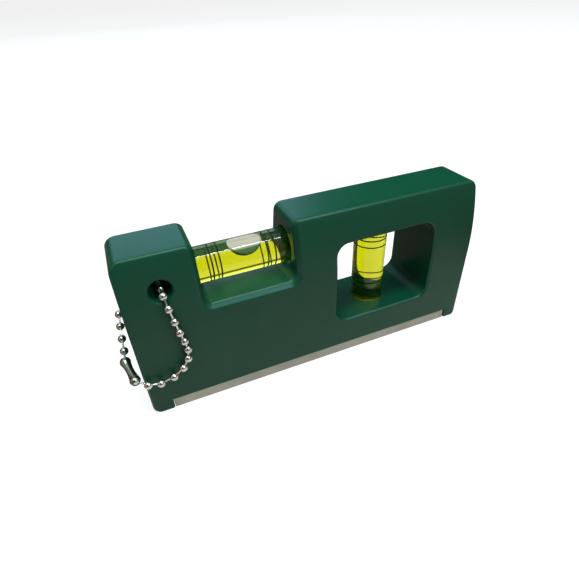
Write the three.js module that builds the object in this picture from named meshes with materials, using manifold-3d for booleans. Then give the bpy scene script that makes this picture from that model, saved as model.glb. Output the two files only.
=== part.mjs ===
// Mini spirit level with a main vial, a plumb vial, a base strip and a ball chain. Millimetres, +Z up.
// X runs along the level, -Y is the front, and the origin is the middle of the base.
import * as THREE from "three";
import { mergeVertices } from "three/addons/utils/BufferGeometryUtils.js";
import Module from "manifold-3d";

const wasm = await Module();
wasm.setup();

// Body: overall size and the section that thins towards the top edge
const body_length = 100;
const body_height = 46.5;
const base_thickness = 19.5;
const top_thickness = 13.2;
const straight_side_height = 25.7;
const body_end_edge_radius = 0.8;
const body_top_edge_radius = 0.6;
const top_left_radius = 3;
const top_right_radius = 2.3;
const bottom_left_radius = 2.3;
const bottom_right_radius = 1.4;

// Notch for the main vial
const post_length = 19.05;
const notch_length = 24.4;
const notch_floor_height = 30.6;
const notch_top_radius = 2.2;
const notch_floor_radius = 2.2;
const notch_front_edge_radius = 1.6;
const notch_back_edge_radius = 0.9;

// Window for the plumb vial
const window_start = 55.1;
const window_length = 31;
const window_sill_height = 12.5;
const window_height = 24.95;
const window_corner_radius = 3.6;
const window_front_edge_radius = 0.7;
const window_back_edge_radius = 0.4;

// Chain hole through the post
const hole_setback = 9.65;
const hole_height = 37.6;
const hole_diameter = 5.4;
const hole_edge_radius = 0.4;

// Base strip between the two feet
const strip_start = 5.6;
const strip_length = 89.8;
const strip_height = 3.45;
const strip_side_setback = 0.25;
const strip_edge_chamfer = 0.3;

// Vials: sizes that both share
const tube_diameter = 9.45;
const bore_diameter = 6.6;
const pocket_depth = 3.5;
const end_wall = 1.4;
const plug_length = 1.6;
const ring_width = 0.4;
const ring_height = 0.1;
const ring_pair_gap = 12.3;
const ring_spacing = 2.1;

// Where each vial lies
const main_vial_height = 36.95;
const plumb_vial_start = 70.5;

// Bubbles and how far they run; the main one rests a little to the right of its vial's middle
const main_bubble_length = 8.9;
const main_bubble_width = 6.4;
const main_bubble_depth = 2.6;
const main_bubble_shift = 1.3;
const main_bubble_travel = 5;
const plumb_bubble_length = 6;
const plumb_bubble_width = 4;
const plumb_bubble_travel = 12;

// Ball chain and its connector
const ball_diameter = 2.35;
const link_diameter = 0.56;
const taut_pitch = 3.65;
const connector_wall = 0.2;
const connector_waist_diameter = 2.5;
const connector_mouth_diameter = 1.7;
const connector_slot_width = 0.9;
const chain_reach = 12.85;
const chain_drop = 25.5;

// Clearances and the one overrun that all cuts share
const seat_gap = 0.3;
const strip_gap = 0.15;
const vial_inner_gap = 0.1;
const ring_gap = 0.03;
const connector_gap = 0.1;
const overrun = 2;

// Fineness of the curved faces
const corner_steps = 5;
const edge_steps = 3;
const wall_steps = 6;
const tube_sides = 28;
const hole_sides = 24;
const ball_sides = 10;
const ball_rows = 7;
const link_sides = 6;
const bubble_sides = 16;
const bubble_rows = 10;

// Places worked out from the sizes
const left_end = -body_length / 2;
const right_end = body_length / 2;
const notch_left = left_end + post_length;
const notch_right = notch_left + notch_length;
const notch_middle = (notch_left + notch_right) / 2;
const window_left = left_end + window_start;
const window_right = window_left + window_length;
const window_top_height = window_sill_height + window_height;
const window_middle_height = (window_sill_height + window_top_height) / 2;
const hole_x = left_end + hole_setback;
const plumb_vial_x = left_end + plumb_vial_start;

const body_plastic = new THREE.MeshStandardMaterial({ color: 0x124a35, roughness: 0.45, metalness: 0 });
const strip_metal = new THREE.MeshStandardMaterial({ color: 0xa0a098, roughness: 0.5, metalness: 0.8 });
const clear_plastic = new THREE.MeshStandardMaterial({ color: 0xdce8d8, roughness: 0.05, metalness: 0 });
const vial_liquid = new THREE.MeshStandardMaterial({ color: 0xd2cd23, roughness: 0.1, metalness: 0 });
const bubble_air = new THREE.MeshStandardMaterial({ color: 0xf0ece0, roughness: 0.1, metalness: 0 });
const ring_black = new THREE.MeshStandardMaterial({ color: 0x101510, roughness: 0.6, metalness: 0 });
const chain_steel = new THREE.MeshStandardMaterial({ color: 0xb8b0a4, roughness: 0.3, metalness: 1 });

const level = new THREE.Group();

function add_piece(name, geometry, material, parent = level) {
  const piece = new THREE.Mesh(geometry, material);
  piece.name = name;
  parent.add(piece);
  return piece;
}

// Half of the body's thickness at a height: upright sides that curve in towards the top edge
function half_thickness(z) {
  const rise = Math.min(Math.max(z - straight_side_height, 0), body_height - straight_side_height);
  const curve_height = body_height - straight_side_height;
  const narrowing = (base_thickness - top_thickness) / 2;
  return base_thickness / 2 - narrowing * (rise / curve_height) ** 2;
}

// Solids: from a closed geometry, and back again
function solid_from(geometry) {
  const plain = geometry.clone();
  plain.deleteAttribute("normal");
  plain.deleteAttribute("uv");
  const merged = mergeVertices(plain);
  const mesh = new wasm.Mesh({
    numProp: 3,
    vertProperties: new Float32Array(merged.attributes.position.array),
    triVerts: new Uint32Array(merged.index.array),
  });
  return new wasm.Manifold(mesh);
}

function geometry_from(solid) {
  const mesh = solid.getMesh();
  const geometry = new THREE.BufferGeometry();
  geometry.setAttribute("position", new THREE.BufferAttribute(mesh.vertProperties, 3));
  geometry.setIndex(new THREE.BufferAttribute(mesh.triVerts, 1));
  return geometry;
}

// A closed skin over rings of equally many points, each end closed by a fan round its middle
function skin_over(rings) {
  const count = rings[0].length;
  const points = rings.flat();
  const triangles = [];
  for (let ring = 0; ring + 1 < rings.length; ring += 1) {
    for (let i = 0; i < count; i += 1) {
      const a = ring * count + i;
      const b = ring * count + ((i + 1) % count);
      triangles.push(a, b, b + count, a, b + count, a + count);
    }
  }
  const ends = [rings[0], rings[rings.length - 1]];
  ends.forEach((end, side) => {
    const middle = new THREE.Vector3();
    end.forEach((point) => middle.add(point));
    middle.divideScalar(count);
    points.push(middle);
    const start = side === 0 ? 0 : (rings.length - 1) * count;
    for (let i = 0; i < count; i += 1) {
      const next = (i + 1) % count;
      if (side === 0) {
        triangles.push(start + next, start + i, points.length - 1);
      } else {
        triangles.push(start + i, start + next, points.length - 1);
      }
    }
  });
  const geometry = new THREE.BufferGeometry();
  geometry.setAttribute("position", new THREE.Float32BufferAttribute(points.flatMap((p) => p.toArray()), 3));
  geometry.setIndex(triangles);
  return geometry;
}

function box_between(low, high) {
  const size = new THREE.Vector3().subVectors(high, low);
  const geometry = new THREE.BoxGeometry(size.x, size.y, size.z);
  geometry.translate((low.x + high.x) / 2, (low.y + high.y) / 2, (low.z + high.z) / 2);
  return geometry;
}

// Points along a quarter circle from one angle to the next, both ends included
function arc_points(centre_u, centre_v, radius, start_angle, steps) {
  const points = [];
  for (let step = 0; step <= steps; step += 1) {
    const angle = start_angle + (Math.PI / 2) * (step / steps);
    points.push([centre_u + radius * Math.cos(angle), centre_v + radius * Math.sin(angle)]);
  }
  return points;
}

// A rectangle with round corners, anticlockwise from its lower right corner; radii in that order
function round_rectangle(left, right, low, high, radii) {
  const [lower_right, upper_right, upper_left, lower_left] = radii;
  return [
    ...arc_points(right - lower_right, low + lower_right, lower_right, -Math.PI / 2, corner_steps),
    ...arc_points(right - upper_right, high - upper_right, upper_right, 0, corner_steps),
    ...arc_points(left + upper_left, high - upper_left, upper_left, Math.PI / 2, corner_steps),
    ...arc_points(left + lower_left, low + lower_left, lower_left, Math.PI, corner_steps),
  ];
}

// Body: a skin that follows the section, with its ends' upright edges and its top edges rounded
function body_blank() {
  const level_ring = (z, inset) => {
    const half = half_thickness(z) - inset;
    const radius = body_end_edge_radius;
    const outline = round_rectangle(left_end + inset, right_end - inset, -half, half, Array(4).fill(radius));
    return outline.map(([x, y]) => new THREE.Vector3(x, y, z));
  };
  const rings = [level_ring(0, 0)];
  const edge_start = body_height - body_top_edge_radius;
  const curve_steps = 2 * wall_steps;
  for (let step = 0; step <= curve_steps; step += 1) {
    const share = step / curve_steps;
    rings.push(level_ring(straight_side_height + share * (edge_start - straight_side_height), 0));
  }
  for (let step = 1; step <= edge_steps; step += 1) {
    const angle = (Math.PI / 2) * (step / edge_steps);
    const inset = body_top_edge_radius * (1 - Math.cos(angle));
    rings.push(level_ring(edge_start + body_top_edge_radius * Math.sin(angle), inset));
  }
  return solid_from(skin_over(rings));
}

// The outline seen from the front: four rounded corners, and the notch with its rounded corners
function body_outline() {
  const arc_into = (shape, x, z, radius, start, clockwise) => {
    const end = clockwise ? start - Math.PI / 2 : start + Math.PI / 2;
    shape.absarc(x, z, radius, start, end, clockwise);
  };
  const quarter = Math.PI / 2;
  const shape = new THREE.Shape();
  const top = body_height;
  arc_into(shape, left_end + bottom_left_radius, bottom_left_radius, bottom_left_radius, 2 * quarter, false);
  arc_into(shape, right_end - bottom_right_radius, bottom_right_radius, bottom_right_radius, -quarter, false);
  arc_into(shape, right_end - top_right_radius, top - top_right_radius, top_right_radius, 0, false);
  arc_into(shape, notch_right + notch_top_radius, top - notch_top_radius, notch_top_radius, quarter, false);
  const floor_arc_height = notch_floor_height + notch_floor_radius;
  arc_into(shape, notch_right - notch_floor_radius, floor_arc_height, notch_floor_radius, 0, true);
  arc_into(shape, notch_left + notch_floor_radius, floor_arc_height, notch_floor_radius, -quarter, true);
  arc_into(shape, notch_left - notch_top_radius, top - notch_top_radius, notch_top_radius, 0, false);
  arc_into(shape, left_end + top_left_radius, top - top_left_radius, top_left_radius, quarter, false);
  shape.closePath();
  return extruded_through_thickness(shape);
}

// An outline in X and Z, carried right through the thickness
function extruded_through_thickness(shape) {
  const depth = base_thickness + 2 * overrun;
  const settings = { depth, bevelEnabled: false, curveSegments: corner_steps };
  const geometry = new THREE.ExtrudeGeometry(shape, settings);
  geometry.rotateX(Math.PI / 2);
  geometry.translate(0, depth / 2, 0);
  return solid_from(geometry);
}

function window_points(offset) {
  const radius = window_corner_radius + offset;
  const sides = [window_left - offset, window_right + offset];
  const heights = [window_sill_height - offset, window_top_height + offset];
  return split_upright(round_rectangle(...sides, ...heights, Array(4).fill(radius)));
}

function notch_points(offset) {
  const floor_radius = notch_floor_radius + offset;
  const sides = [notch_left - offset, notch_right + offset];
  const heights = [notch_floor_height - offset, body_height + overrun];
  return split_upright(round_rectangle(...sides, ...heights, [floor_radius, offset, offset, floor_radius]));
}

function hole_points(offset) {
  const points = [];
  for (let side = 0; side < hole_sides; side += 1) {
    const angle = 2 * Math.PI * (side / hole_sides);
    const radius = hole_diameter / 2 + offset;
    points.push([hole_x + radius * Math.cos(angle), hole_height + radius * Math.sin(angle)]);
  }
  return points;
}

// Adds points along the long upright sides, so that an edge can follow the curved faces there.
// The right side starts where the first corner ends, and the left side where the third one ends.
function split_upright(outline) {
  const corner_points = corner_steps + 1;
  const result = [];
  outline.forEach((point, i) => {
    result.push(point);
    const next = outline[(i + 1) % outline.length];
    const corner_ends = (i + 1) % corner_points === 0;
    const corners_passed = (i + 1) / corner_points;
    if (corner_ends && corners_passed % 2 === 1) {
      for (let step = 1; step < wall_steps; step += 1) {
        const share = step / wall_steps;
        result.push([point[0] + share * (next[0] - point[0]), point[1] + share * (next[1] - point[1])]);
      }
    }
  });
  return result;
}

// The cutter that opens an outline right through and rounds its edges on the front and back faces
function opening_cutter(points_at, front_radius, back_radius) {
  const rings_at = (side, radius) => {
    const profile = [];
    for (let step = 0; step <= edge_steps; step += 1) {
      const angle = (Math.PI / 2) * (step / edge_steps);
      profile.push([radius * (Math.sin(angle) - 1), radius * (1 - Math.cos(angle))]);
    }
    profile.push([overrun, radius]);
    return profile.map(([depth, offset]) => points_at(offset).map(
      ([x, z]) => new THREE.Vector3(x, side * (half_thickness(z) + depth), z),
    ));
  };
  return solid_from(skin_over([...rings_at(1, back_radius).reverse(), ...rings_at(-1, front_radius)]));
}

function rod_along(axis, radius, start, end, across_1, across_2) {
  const geometry = new THREE.CylinderGeometry(radius, radius, end - start, tube_sides);
  if (axis === "x") {
    geometry.rotateZ(Math.PI / 2);
    geometry.translate((start + end) / 2, across_1, across_2);
  } else {
    geometry.rotateX(Math.PI / 2);
    geometry.translate(across_1, across_2, (start + end) / 2);
  }
  return geometry;
}

function make_body() {
  const pocket_radius = tube_diameter / 2 + seat_gap;
  const reach = pocket_depth + seat_gap;
  const main_low = notch_left - reach;
  const main_high = notch_right + reach;
  const main_pocket = rod_along("x", pocket_radius, main_low, main_high, 0, main_vial_height);
  const plumb_low = window_sill_height - reach;
  const plumb_high = window_top_height + reach;
  const plumb_pocket = rod_along("z", pocket_radius, plumb_low, plumb_high, plumb_vial_x, 0);
  const rebate_low = new THREE.Vector3(left_end + strip_start, -base_thickness, -overrun);
  const rebate_high = new THREE.Vector3(left_end + strip_start + strip_length, base_thickness, strip_height);
  const body = body_blank()
    .intersect(body_outline())
    .subtract(opening_cutter(notch_points, notch_front_edge_radius, notch_back_edge_radius))
    .subtract(opening_cutter(window_points, window_front_edge_radius, window_back_edge_radius))
    .subtract(opening_cutter(hole_points, hole_edge_radius, hole_edge_radius))
    .subtract(solid_from(main_pocket))
    .subtract(solid_from(plumb_pocket))
    .subtract(solid_from(box_between(rebate_low, rebate_high)));
  return geometry_from(body);
}

// Base strip: a plain bar with its two long lower edges chamfered
function make_base_strip() {
  const half = base_thickness / 2 - strip_side_setback;
  const top = strip_height - strip_gap;
  const section = new THREE.Shape();
  section.moveTo(-half + strip_edge_chamfer, 0);
  section.lineTo(half - strip_edge_chamfer, 0);
  section.lineTo(half, strip_edge_chamfer);
  section.lineTo(half, top);
  section.lineTo(-half, top);
  section.lineTo(-half, strip_edge_chamfer);
  section.closePath();
  const depth = strip_length - 2 * strip_gap;
  const geometry = new THREE.ExtrudeGeometry(section, { depth, bevelEnabled: false });
  geometry.rotateX(Math.PI / 2);
  geometry.rotateZ(Math.PI / 2);
  geometry.translate(left_end + strip_start + strip_gap, 0, 0);
  return geometry;
}

// Vials: each is made upright about its own middle and then placed, with the plug at its lower end
function vial_sizes(opening_length) {
  const half_tube = opening_length / 2 + pocket_depth;
  const chamber_low = -half_tube + plug_length;
  const chamber_high = half_tube - end_wall;
  return { half_tube, chamber_low, chamber_high };
}

function turned(profile) {
  const points = profile.map(([radius, height]) => new THREE.Vector2(radius, height));
  const geometry = new THREE.LatheGeometry(points, tube_sides);
  geometry.rotateX(Math.PI / 2);
  return geometry;
}

function make_vial_tube(sizes) {
  const outer = tube_diameter / 2;
  const bore = bore_diameter / 2;
  return turned([
    [0, sizes.chamber_high],
    [bore, sizes.chamber_high],
    [bore, -sizes.half_tube],
    [outer, -sizes.half_tube],
    [outer, sizes.half_tube],
    [0, sizes.half_tube],
  ]);
}

function make_vial_plug(sizes) {
  const radius = bore_diameter / 2 - vial_inner_gap;
  const high = sizes.chamber_low - vial_inner_gap;
  return turned([[0, -sizes.half_tube], [radius, -sizes.half_tube], [radius, high], [0, high]]);
}

function liquid_column(sizes) {
  const radius = bore_diameter / 2 - vial_inner_gap;
  const low = sizes.chamber_low;
  const high = sizes.chamber_high - vial_inner_gap;
  return solid_from(turned([[0, low], [radius, low], [radius, high], [0, high]]));
}

function make_ring() {
  const inner = tube_diameter / 2 + ring_gap;
  const outer = inner + ring_height;
  const half = ring_width / 2;
  return turned([[inner, -half], [outer, -half], [outer, half], [inner, half], [inner, -half]]);
}

// The main vial's bubble lies along the top of its bore, which is the vial's -X side before it is laid down
const main_bubble_top = bore_diameter / 2 - 2 * vial_inner_gap;

function make_main_bubble() {
  const egg = new THREE.SphereGeometry(1, bubble_sides, bubble_rows);
  egg.scale(main_bubble_depth, main_bubble_width / 2, main_bubble_length / 2);
  egg.translate(-main_bubble_top, 0, main_bubble_shift);
  const end = main_bubble_length / 2;
  const bore = rod_along("z", main_bubble_top, main_bubble_shift - end, main_bubble_shift + end, 0, 0);
  return geometry_from(solid_from(egg).intersect(solid_from(bore)));
}

// The liquid stands back from the bubble all along the bubble's run
function make_main_liquid(sizes) {
  const reach = main_bubble_length / 2 + main_bubble_travel + vial_inner_gap;
  const half_width = main_bubble_width / 2 + vial_inner_gap;
  const low = new THREE.Vector3(-bore_diameter, -half_width, -reach);
  const high = new THREE.Vector3(-main_bubble_top + main_bubble_depth + vial_inner_gap, half_width, reach);
  return geometry_from(liquid_column(sizes).subtract(solid_from(box_between(low, high))));
}

// The plumb vial's bubble stands at the top of its chamber
function plumb_bubble_middle(sizes) {
  return sizes.chamber_high - 2 * vial_inner_gap - plumb_bubble_length / 2;
}

function make_plumb_bubble(sizes) {
  const egg = new THREE.SphereGeometry(1, bubble_sides, bubble_rows);
  egg.rotateX(Math.PI / 2);
  egg.scale(plumb_bubble_width / 2, plumb_bubble_width / 2, plumb_bubble_length / 2);
  egg.translate(0, 0, plumb_bubble_middle(sizes));
  return egg;
}

function make_plumb_liquid(sizes) {
  const radius = plumb_bubble_width / 2 + vial_inner_gap;
  const lowest = plumb_bubble_middle(sizes) - plumb_bubble_travel - plumb_bubble_length / 2 - vial_inner_gap;
  const run = rod_along("z", radius, lowest, sizes.half_tube, 0, 0);
  return geometry_from(liquid_column(sizes).subtract(solid_from(run)));
}

function add_vial(name, sizes, place, liquid, bubble) {
  const vial = new THREE.Group();
  place(vial);
  add_piece(`${name}_tube`, make_vial_tube(sizes), clear_plastic, vial);
  add_piece(`${name}_plug`, make_vial_plug(sizes), clear_plastic, vial);
  add_piece(`${name}_liquid`, liquid, vial_liquid, vial);
  add_piece(`${name}_bubble`, bubble, bubble_air, vial);
  const nearest = ring_pair_gap / 2;
  [-nearest - ring_spacing, -nearest, nearest, nearest + ring_spacing].forEach((along, index) => {
    add_piece(`${name}_ring_${index + 1}`, make_ring(), ring_black, vial).position.z = along;
  });
  level.add(vial);
}

function add_main_vial() {
  const sizes = vial_sizes(notch_length);
  const lay_down = (vial) => {
    vial.rotation.y = Math.PI / 2;
    vial.position.set(notch_middle, 0, main_vial_height);
  };
  add_vial("main_vial", sizes, lay_down, make_main_liquid(sizes), make_main_bubble());
}

function add_plumb_vial() {
  const sizes = vial_sizes(window_height);
  const stand = (vial) => vial.position.set(plumb_vial_x, 0, window_middle_height);
  add_vial("plumb_vial", sizes, stand, make_plumb_liquid(sizes), make_plumb_bubble(sizes));
}

// Ball chain. The balls on the front, from the connector up to the hole, each have a place of their own,
// because their slack links slide into the balls by different amounts. From the hole's mouth the route
// runs through the hole, down the back and round the left end to the connector's other ball.
// Each row is a share of the chain's reach to the left of the hole, of the strand's distance from the
// middle plane, and of the chain's drop below the hole.
const front_ball_shares = [
  [-0.894, -0.846, -0.918],
  [-0.681, -1, -0.967],
  [-0.441, -1, -0.996],
  [-0.173, -1, -0.961],
  [0.045, -1, -0.88],
  [0.176, -1, -0.775],
  [0.212, -1, -0.661],
  [0.183, -1, -0.547],
  [0.138, -1, -0.43],
  [0.092, -0.99, -0.292],
  [0.048, -0.956, -0.144],
  [0.014, -0.837, -0.027],
];
const back_route_shares = [
  [0, 0.83, -0.035],
  [-0.05, 0.98, -0.14],
  [-0.34, 1, -0.4],
  [-0.71, 1, -0.56],
  [-0.914, 0.833, -0.617],
  [-0.944, 0.561, -0.685],
  [-0.972, 0.267, -0.761],
  [-0.982, -0.009, -0.82],
  [-1, -0.33, -0.851],
];

function ball_places() {
  const strand_distance = (base_thickness + ball_diameter) / 2 + seat_gap;
  const place = ([reach_share, side_share, drop_share]) => new THREE.Vector3(
    hole_x + reach_share * chain_reach,
    side_share * strand_distance,
    hole_height + drop_share * chain_drop,
  );
  const places = front_ball_shares.map(place);
  const mouth = places[places.length - 1];
  const rest_height = hole_height - hole_diameter / 2 + ball_diameter / 2 + seat_gap;
  const in_hole = new THREE.Vector3(hole_x, 0, rest_height);
  const route = new THREE.CatmullRomCurve3([mouth, in_hole, ...back_route_shares.map(place)]);
  const link_count = Math.round(route.getLength() / taut_pitch);
  for (let link = 1; link <= link_count; link += 1) {
    places.push(route.getPointAt(link / link_count));
  }
  return places;
}

function rod_from(start, end, radius, sides) {
  const along = new THREE.Vector3().subVectors(end, start);
  const geometry = new THREE.CylinderGeometry(radius, radius, along.length(), sides);
  geometry.translate(0, along.length() / 2, 0);
  const turn = new THREE.Quaternion().setFromUnitVectors(new THREE.Vector3(0, 1, 0), along.normalize());
  geometry.applyQuaternion(turn);
  geometry.translate(start.x, start.y, start.z);
  return geometry;
}

// A ball with the wire link that reaches from its middle towards the next ball
function make_ball(towards_next) {
  const ball = solid_from(new THREE.SphereGeometry(ball_diameter / 2, ball_sides, ball_rows));
  if (!towards_next) {
    return geometry_from(ball);
  }
  const reach = towards_next.length() - ball_diameter / 2 - seat_gap;
  const tip = towards_next.clone().setLength(reach);
  const link = rod_from(new THREE.Vector3(), tip, link_diameter / 2, link_sides);
  return geometry_from(ball.add(solid_from(link)));
}

// Connector: a thin peanut-shaped shell round the two end balls, open at its ends and along one side
function make_connector(first, last, next_ball) {
  const inner = ball_diameter / 2 + connector_gap;
  const outer = inner + connector_wall;
  const waist = connector_waist_diameter / 2;
  const mouth = connector_mouth_diameter / 2;
  const half = first.distanceTo(last) / 2;
  const half_end = half + inner;
  const outer_half = [
    [waist, 0],
    [waist, half - outer],
    [outer, half - outer / 2],
    [outer, half + inner / 2],
    [mouth, half_end + connector_wall],
  ];
  const inner_half = [
    [mouth, half_end - connector_gap],
    [inner, half + inner / 2],
    [inner, half - outer / 2],
    [waist - connector_wall, half - outer],
    [waist - connector_wall, 0],
  ];
  const mirrored = (half_profile) => half_profile.map(([radius, height]) => [radius, -height]).reverse();
  const outer_profile = [...mirrored(outer_half).slice(0, -1), ...outer_half];
  const inner_profile = [...inner_half, ...mirrored(inner_half).slice(1)];
  const profile = [...outer_profile, ...inner_profile, outer_profile[0]];
  const points = profile.map(([radius, height]) => new THREE.Vector2(radius, height));
  const shell = solid_from(new THREE.LatheGeometry(points, tube_sides / 2));
  const slot_low = new THREE.Vector3(0, -half_end - overrun, -connector_slot_width / 2);
  const slot_high = new THREE.Vector3(outer + overrun, half_end + overrun, connector_slot_width / 2);
  const geometry = geometry_from(shell.subtract(solid_from(box_between(slot_low, slot_high))));
  const along = new THREE.Vector3().subVectors(first, last).normalize();
  const slot_side = new THREE.Vector3().subVectors(next_ball, first);
  slot_side.addScaledVector(along, -slot_side.dot(along)).normalize();
  const third = new THREE.Vector3().crossVectors(slot_side, along);
  geometry.applyMatrix4(new THREE.Matrix4().makeBasis(slot_side, along, third));
  return geometry;
}

function add_chain() {
  const places = ball_places();
  places.forEach((place, index) => {
    const next = places[index + 1];
    const towards_next = next ? new THREE.Vector3().subVectors(next, place) : null;
    const number = String(index + 1).padStart(2, "0");
    add_piece(`chain_ball_${number}`, make_ball(towards_next), chain_steel).position.copy(place);
  });
  const first = places[0];
  const last = places[places.length - 1];
  const connector = add_piece("chain_connector", make_connector(first, last, places[1]), chain_steel);
  connector.position.addVectors(first, last).divideScalar(2);
}

add_piece("body", make_body(), body_plastic);
add_piece("base_strip", make_base_strip(), strip_metal);
add_main_vial();
add_plumb_vial();
add_chain();

export default level;
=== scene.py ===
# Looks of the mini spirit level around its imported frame. Metres, +Z up, the front faces -Y.
import math

import bmesh
import bpy
import numpy as np
from mathutils import Matrix, Vector
from mathutils.geometry import delaunay_2d_cdt


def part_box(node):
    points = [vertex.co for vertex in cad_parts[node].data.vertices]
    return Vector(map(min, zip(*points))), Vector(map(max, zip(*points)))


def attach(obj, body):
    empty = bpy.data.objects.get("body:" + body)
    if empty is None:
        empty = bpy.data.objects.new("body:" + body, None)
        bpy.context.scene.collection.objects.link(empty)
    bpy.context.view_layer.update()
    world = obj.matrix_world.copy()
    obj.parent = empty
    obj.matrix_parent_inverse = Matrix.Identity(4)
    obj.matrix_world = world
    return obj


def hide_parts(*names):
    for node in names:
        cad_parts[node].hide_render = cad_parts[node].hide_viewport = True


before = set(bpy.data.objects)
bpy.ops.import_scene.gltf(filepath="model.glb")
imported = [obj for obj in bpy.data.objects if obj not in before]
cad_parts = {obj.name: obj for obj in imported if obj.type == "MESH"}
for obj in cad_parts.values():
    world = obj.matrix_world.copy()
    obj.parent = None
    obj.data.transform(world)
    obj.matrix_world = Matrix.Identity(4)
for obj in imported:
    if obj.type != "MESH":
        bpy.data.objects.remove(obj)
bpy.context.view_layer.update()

MM = 0.001

# Body: what its box in the frame gives
body_low, body_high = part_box("body")
LEFT = body_low.x
RIGHT = body_high.x
TOP = body_high.z
BASE_THICKNESS = body_high.y - body_low.y

# Body: the other sizes of its section and outline
TOP_THICKNESS = 13.2 * MM
STRAIGHT_SIDE_HEIGHT = 25.7 * MM
TOP_LEFT_RADIUS = 3 * MM
TOP_RIGHT_RADIUS = 2.3 * MM
BOTTOM_LEFT_RADIUS = 2.3 * MM
BOTTOM_RIGHT_RADIUS = 1.4 * MM
NOTCH_LEFT = LEFT + 19.05 * MM
NOTCH_RIGHT = NOTCH_LEFT + 24.4 * MM
NOTCH_FLOOR = 30.6 * MM
NOTCH_TOP_RADIUS = 2.2 * MM
NOTCH_FLOOR_RADIUS = 2.2 * MM
WINDOW_LEFT = LEFT + 55.1 * MM
WINDOW_RIGHT = WINDOW_LEFT + 31 * MM
WINDOW_SILL = 12.5 * MM
WINDOW_TOP = WINDOW_SILL + 24.95 * MM
WINDOW_RADIUS = 3.6 * MM
HOLE_X = LEFT + 9.65 * MM
HOLE_HEIGHT = 37.6 * MM
HOLE_RADIUS = 2.7 * MM
REBATE_LEFT = LEFT + 5.6 * MM
REBATE_RIGHT = REBATE_LEFT + 89.8 * MM
REBATE_HEIGHT = 3.45 * MM
FOOT_RADIUS = 0.7 * MM
REBATE_RADIUS = 0.3 * MM

# Body: how each side's edge meets the front and back faces. The reach of the front edge, that of the back
# edge, and how far both are from a round (0) to a flat chamfer (1).
END_EDGE = (0.8 * MM, 0.8 * MM, 0)
TOP_EDGE = (0.6 * MM, 0.6 * MM, 0)
NOTCH_EDGE = (1.6 * MM, 0.9 * MM, 0.9)
BASE_EDGE = (0.35 * MM, 0.35 * MM, 0)
REBATE_EDGE = (0.12 * MM, 0.12 * MM, 0)
WINDOW_EDGE = (0.75 * MM, 0.4 * MM, 0.6)
HOLE_EDGE = (0.5 * MM, 0.4 * MM, 0.9)
CHAMFER_SHARE = 0.8
CHAMFER_CORNER = 0.2

# Base strip
STRIP_EDGE = 0.25 * MM
STRIP_EDGE_STEPS = 3

# Vials
BORE_RADIUS = 3.3 * MM
LIQUID_END_GAP = 0.15 * MM
PLUG_GAP = 0.05 * MM
POCKET_GAP = 0.3 * MM
POCKET_CHAMFER = 0.25 * MM
LIQUID_OVERLAP = 0.01 * MM
TUBE_SOFTNESS = 0.2 * MM
RING_COUNT = 4
RING_LIFT = 0.035 * MM
RING_SOFTNESS = 0.015 * MM
BUBBLE_RIM = 0.1 * MM
BUBBLE_FILM = 0.1 * MM
# Share of the bubble's look that is a painted reflection rather than glass.
BUBBLE_PAINTED_REFLECTION_SHARE = 0.85
BEND_REACH = 30
MAIN_BUBBLE_HALF_WIDTH = 3.3 * MM
MAIN_BUBBLE_DEPTH = 3.2 * MM
SHADE_WIDTH = 4.6 * MM
SHADE_DROP = 2.1 * MM
TUBE_IOR = 1.49
LIQUID_IOR = 1.44

# Chain
LINK_RADIUS = 0.24 * MM
BALL_HOLE_RADIUS = 0.42 * MM
BALL_HOLE_DEPTH = 0.3 * MM
BALL_HOLE_FLOOR_SHARE = 0.85
USUAL_SIDE = (0.3, 0.2, 1)
CONNECTOR_WALL = 0.2 * MM
CONNECTOR_WAIST_RADIUS = 1.0 * MM
CONNECTOR_NECK = math.radians(115)
CONNECTOR_MOUTH_RADIUS = 0.85 * MM
CONNECTOR_SLOT = 0.9 * MM
CONNECTOR_GAP = 0.1 * MM

# Room and floor
ROOM_LEVEL = 0.15
FLOOR_GLOW = 0.84
FLOOR_REACH = 40
FLOOR_DROP = 0.02 * MM

# Tent: its size, how brightly its cloth, hem, front and roof glow, the way from the origin to the middle
# of the front, which stays dark, and where each glow fades, by height or by nearness to that way
TENT_MIDDLE = (0.0, -0.07)
TENT_FOOT = 1 * MM
TENT_HEM = 0.09
TENT_RADIUS = 1.5
TENT_HEIGHT = 1.6
TENT_GLOW = 0.02
HEM_GLOW = 0.2
HEM_FADE = (2 * MM, 100 * MM)
FRONT_GLOW = 0.55
FRONT_WAY = (-0.295, -0.753, 0.588)
FRONT_RIM = (0, 0.25)
FRONT_MIDDLE = (0.82, 0.94)
FRONT_FOOT = (50 * MM, 300 * MM)
ROOF_RADIUS = 0.9
ROOF_GLOW = 0.9

# Horizon
HORIZON_FOOT = 1 * MM
HORIZON_RADIUS = 1.4
HORIZON_HEIGHT = 0.16

# Lamps: where each stands, what it points at, its width and depth, its power, its colour, and whether
# gloss and glass show it
LAMPS = {
    "ceiling": ((0, -0.2, 1.0), (0, 0, 0.03), (0.9, 0.11), 5.4, (0.93, 0.98, 1), True),
    "window": ((-0.05, 1.0, 0.52), (-0.02, 0, 0.04), (1.0, 0.6), 3.0, (0.45, 0.72, 1), True),
    "corner": ((0.29, -0.62, 0.73), (0, 0, 0.03), (0.5, 0.35), 3.0, (0.38, 0.86, 1), True),
    "sky": ((0, 0.05, 1.15), (0, 0, 0.03), (0.8, 0.5), 9.5, (0.95, 0.98, 1), False),
}

# Camera: its place, its bearing from +Y towards +X, how far down it looks, its roll and its lens
CAMERA_PLACE = (-0.04201, -0.09337, 0.09508)
CAMERA_BEARING = math.radians(21.36)
CAMERA_DROP = math.radians(36.30)
CAMERA_ROLL = math.radians(2.62)
LENS = 26.76
SENSOR_WIDTH = 36
NEAREST_SEEN = 5 * MM

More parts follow.
